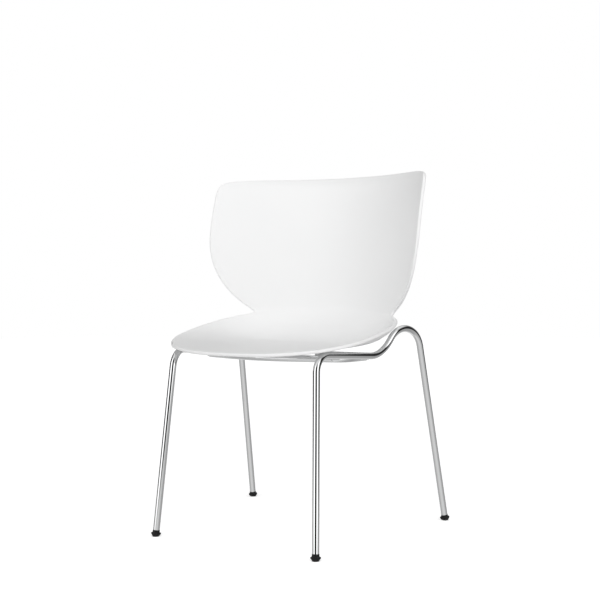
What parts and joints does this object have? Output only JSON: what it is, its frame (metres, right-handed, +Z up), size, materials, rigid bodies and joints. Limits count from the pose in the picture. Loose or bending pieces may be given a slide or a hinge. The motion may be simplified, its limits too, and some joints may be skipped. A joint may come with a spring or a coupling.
{
  "type": "stacking chair",
  "caption": "Stacking chair with a one-piece moulded shell, dished seat and wrap-round back, on a bent chromed tube frame with plastic glides.",
  "frame": {"origin": "on the floor, under the middle of the chair's bounding box", "axes": "+Z up, the sitter faces -Y, +X is on the sitter's left"},
  "size_m": [0.6042, 0.5364, 0.8609],
  "materials": {
    "shell_plastic": "white moulded polypropylene, satin",
    "chrome_tube": "polished chrome plating",
    "chrome_plate": "polished chrome plating over flat steel",
    "glide_plastic": "black moulded plastic, satin",
    "zinc_fixings": "zinc plated steel",
    "brass_inserts": "turned brass"
  },
  "bodies": {
    "root": {"seat_shell": "shell_plastic", "side_frame_left": "chrome_tube", "side_frame_right": "chrome_tube", "cross_brace": "chrome_tube", "rear_strap": "chrome_plate", "mounting_plate_left": "chrome_plate", "mounting_plate_right": "chrome_plate", "glide_front_left": "glide_plastic", "glide_front_right": "glide_plastic", "glide_rear_left": "glide_plastic", "glide_rear_right": "glide_plastic", "screw_front_left": "zinc_fixings", "screw_front_right": "zinc_fixings", "screw_rear_left": "zinc_fixings", "screw_rear_right": "zinc_fixings", "washer_front_left": "zinc_fixings", "washer_front_right": "zinc_fixings", "washer_rear_left": "zinc_fixings", "washer_rear_right": "zinc_fixings", "threaded_insert_front_left": "brass_inserts", "threaded_insert_front_right": "brass_inserts", "threaded_insert_rear_left": "brass_inserts", "threaded_insert_rear_right": "brass_inserts"}
  },
  "joints": []
}
